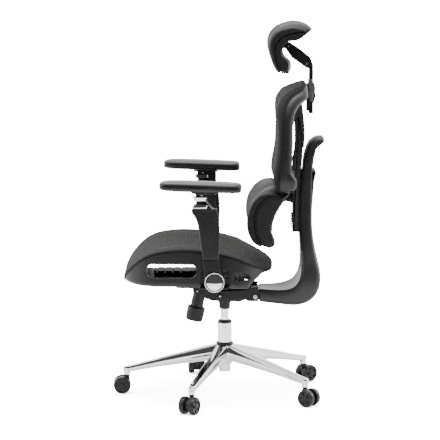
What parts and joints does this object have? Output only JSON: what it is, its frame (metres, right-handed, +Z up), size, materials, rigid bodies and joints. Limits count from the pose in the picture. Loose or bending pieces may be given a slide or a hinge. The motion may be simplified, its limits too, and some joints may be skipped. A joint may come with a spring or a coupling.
{
  "type": "swivel office chair",
  "caption": "High-back swivel office chair with mesh seat and back, headrest, lumbar pad, adjustable arms and a chromed star base on casters.",
  "frame": {"origin": "on the floor under the middle of the bounding box", "axes": "+Z up from the floor; the sitter faces -Y, +Y towards the backrest; +X towards the sitter's left"},
  "size_m": [0.759, 0.738, 1.3043],
  "materials": {
    "chrome": "polished chrome plate",
    "steel": "zinc-plated steel",
    "carrier_steel": "black powder coat",
    "mechanism": "finely textured black glass-filled nylon",
    "frame": "satin dark grey glass-filled nylon",
    "dark_frame": "satin charcoal plastic",
    "cushion": "dark grey cloth over foam",
    "mesh": "ribbed elastic mesh cloth in warm dark grey",
    "arm_pad": "soft satin polyurethane",
    "wheel": "semi-gloss black nylon"
  },
  "bodies": {
    "base": {"star_base": "chrome", "gas_tube": "chrome", "gas_tube_ring": "mechanism"},
    "piston": {"gas_piston": "steel"},
    "chassis": {"tilt_housing": "mechanism", "back_pivot_pin": "steel", "seat_pivot_pin": "steel", "tension_tube": "mechanism"},
    "tension_knob": {"tension_knob": "mechanism"},
    "lift_lever": {"lift_lever": "mechanism"},
    "tilt_lever": {"tilt_lever": "mechanism"},
    "back_frame": {"back_bracket": "carrier_steel", "back_frame_bolt": "steel", "back_frame": "frame", "back_frame_cover": "frame"},
    "seat_carrier": {"seat_carrier": "carrier_steel", "arm_bracket_left": "mechanism", "arm_cap_left": "chrome", "arm_upright_left": "frame", "arm_bracket_right": "mechanism", "arm_cap_right": "chrome", "arm_upright_right": "frame"},
    "seat": {"seat_frame": "frame", "seat_mesh": "mesh", "seat_pan": "mechanism"},
    "backrest": {"backrest_frame": "frame", "backrest_mesh": "mesh", "backrest_spine": "dark_frame", "headrest_clamp": "mechanism", "lumbar_bracket": "mechanism"},
    "lumbar": {"lumbar_pad": "cushion", "lumbar_shell": "frame"},
    "headrest_post": {"headrest_post": "mechanism", "headrest_pin": "steel"},
    "headrest_arm": {"headrest_arm": "frame"},
    "headrest": {"headrest_shell": "frame", "headrest_pad": "cushion"},
    "arm_slider_left": {"arm_slider_left": "mechanism", "arm_collar_left": "chrome"},
    "arm_pad_base_left": {"arm_pad_base_left": "mechanism"},
    "arm_pad_left": {"arm_pad_left": "arm_pad"},
    "arm_slider_right": {"arm_slider_right": "mechanism", "arm_collar_right": "chrome"},
    "arm_pad_base_right": {"arm_pad_base_right": "mechanism"},
    "arm_pad_right": {"arm_pad_right": "arm_pad"},
    "caster_1": {"caster_hood_1": "mechanism"},
    "caster_wheels_1": {"caster_wheel_left_1": "wheel", "caster_wheel_right_1": "wheel"},
    "caster_2": {"caster_hood_2": "mechanism"},
    "caster_wheels_2": {"caster_wheel_left_2": "wheel", "caster_wheel_right_2": "wheel"},
    "caster_3": {"caster_hood_3": "mechanism"},
    "caster_wheels_3": {"caster_wheel_left_3": "wheel", "caster_wheel_right_3": "wheel"},
    "caster_4": {"caster_hood_4": "mechanism"},
    "caster_wheels_4": {"caster_wheel_left_4": "wheel", "caster_wheel_right_4": "wheel"},
    "caster_5": {"caster_hood_5": "mechanism"},
    "caster_wheels_5": {"caster_wheel_left_5": "wheel", "caster_wheel_right_5": "wheel"}
  },
  "joints": [
    {"name": "lift", "type": "slide", "parent": "base", "child": "piston", "axis": [0, 0, 1], "range_m": [-0.03, 0.065]},
    {"name": "swivel", "type": "hinge", "parent": "piston", "child": "chassis", "pos_m": [-0.0006, 0.0243, 0.345], "axis": [0, 0, 1], "continuous": true},
    {"name": "recline", "type": "hinge", "parent": "chassis", "child": "back_frame", "pos_m": [-0.0006, 0.0083, 0.358], "axis": [-1, 0, 0], "range_deg": [0, 24], "stiffness_Nm_per_rad": 90, "springref_deg": -20.05},
    {"name": "seat_tilt", "type": "hinge", "parent": "chassis", "child": "seat_carrier", "pos_m": [-0.0006, -0.0707, 0.376], "axis": [-1, 0, 0], "range_deg": [0, 11]},
    {"name": "seat_depth", "type": "slide", "parent": "seat_carrier", "child": "seat", "axis": [0, 1, 0], "range_m": [-0.022, 0.022]},
    {"name": "back_height", "type": "slide", "parent": "back_frame", "child": "backrest", "axis": [0, 0, 1], "range_m": [0, 0.05]},
    {"name": "headrest_height", "type": "slide", "parent": "backrest", "child": "headrest_post", "axis": [0, 0, 1], "range_m": [-0.015, 0.045]},
    {"name": "headrest_swing", "type": "hinge", "parent": "headrest_post", "child": "headrest_arm", "pos_m": [-0.0006, 0.3083, 1.164], "axis": [1, 0, 0], "range_deg": [-10, 20]},
    {"name": "headrest_angle", "type": "hinge", "parent": "headrest_arm", "child": "headrest", "pos_m": [-0.0006, 0.2443, 1.224], "axis": [1, 0, 0], "range_deg": [-15, 15]},
    {"name": "lumbar_tilt", "type": "hinge", "parent": "backrest", "child": "lumbar", "pos_m": [-0.0006, 0.2478, 0.697], "axis": [1, 0, 0], "range_deg": [-5, 6], "stiffness_Nm_per_rad": 14},
    {"name": "arm_height_left", "type": "slide", "parent": "seat_carrier", "child": "arm_slider_left", "axis": [0, 0, 1], "range_m": [0, 0.06]},
    {"name": "arm_swivel_left", "type": "hinge", "parent": "arm_slider_left", "child": "arm_pad_base_left", "pos_m": [0.3154, -0.0437, 0.756], "axis": [0, 0, 1], "range_deg": [-15, 15]},
    {"name": "arm_depth_left", "type": "slide", "parent": "arm_pad_base_left", "child": "arm_pad_left", "axis": [0, 1, 0], "range_m": [-0.02, 0.03]},
    {"name": "arm_height_right", "type": "slide", "parent": "seat_carrier", "child": "arm_slider_right", "axis": [0, 0, 1], "range_m": [0, 0.06]},
    {"name": "arm_swivel_right", "type": "hinge", "parent": "arm_slider_right", "child": "arm_pad_base_right", "pos_m": [-0.3166, -0.0437, 0.756], "axis": [0, 0, 1], "range_deg": [-15, 15]},
    {"name": "arm_depth_right", "type": "slide", "parent": "arm_pad_base_right", "child": "arm_pad_right", "axis": [0, 1, 0], "range_m": [-0.02, 0.03]},
    {"name": "tension_turn", "type": "hinge", "parent": "chassis", "child": "tension_knob", "pos_m": [-0.0006, -0.0792, 0.285], "axis": [0, 0.2079, 0.9781], "continuous": true},
    {"name": "lift_lever_pull", "type": "hinge", "parent": "chassis", "child": "lift_lever", "pos_m": [-0.0606, -0.0487, 0.366], "axis": [0, 1, 0], "range_deg": [0, 8], "stiffness_Nm_per_rad": 3, "springref_deg": -5.73},
    {"name": "tilt_lever_push", "type": "hinge", "parent": "chassis", "child": "tilt_lever", "pos_m": [-0.0606, -0.0217, 0.352], "axis": [0, 1, 0], "range_deg": [-10, 0]},
    {"name": "caster_turn_1", "type": "hinge", "parent": "base", "child": "caster_1", "pos_m": [-0.19848, 0.30691, 0.07], "axis": [0, 0, 1], "continuous": true},
    {"name": "caster_turn_2", "type": "hinge", "parent": "base", "child": "caster_2", "pos_m": [-0.33053, -0.07657, 0.07], "axis": [0, 0, 1], "continuous": true},
    {"name": "caster_turn_3", "type": "hinge", "parent": "base", "child": "caster_3", "pos_m": [-0.00662, -0.32065, 0.07], "axis": [0, 0, 1], "continuous": true},
    {"name": "caster_turn_4", "type": "hinge", "parent": "base", "child": "caster_4", "pos_m": [0.3256, -0.08802, 0.07], "axis": [0, 0, 1], "continuous": true},
    {"name": "caster_turn_5", "type": "hinge", "parent": "base", "child": "caster_5", "pos_m": [0.20703, 0.29983, 0.07], "axis": [0, 0, 1], "continuous": true},
    {"name": "wheel_roll_1", "type": "hinge", "parent": "caster_1", "child": "caster_wheels_1", "pos_m": [-0.20941, 0.31993, 0.03], "axis": [0.766, 0.6428, 0], "continuous": true},
    {"name": "wheel_roll_2", "type": "hinge", "parent": "caster_2", "child": "caster_wheels_2", "pos_m": [-0.3474, -0.07864, 0.03], "axis": [-0.1219, 0.9925, 0], "continuous": true},
    {"name": "wheel_roll_3", "type": "hinge", "parent": "caster_3", "child": "caster_wheels_3", "pos_m": [-0.00573, -0.33762, 0.03], "axis": [-0.9986, -0.0523, 0], "continuous": true},
    {"name": "wheel_roll_4", "type": "hinge", "parent": "caster_4", "child": "caster_wheels_4", "pos_m": [0.34061, -0.096, 0.03], "axis": [-0.4695, -0.8829, 0], "continuous": true},
    {"name": "wheel_roll_5", "type": "hinge", "parent": "caster_5", "child": "caster_wheels_5", "pos_m": [0.21726, 0.31341, 0.03], "axis": [0.7986, -0.6018, 0], "continuous": true}
  ],
  "couplings": [
    {"joint": "seat_tilt", "follows": "recline", "ratio": 0.45}
  ]
}
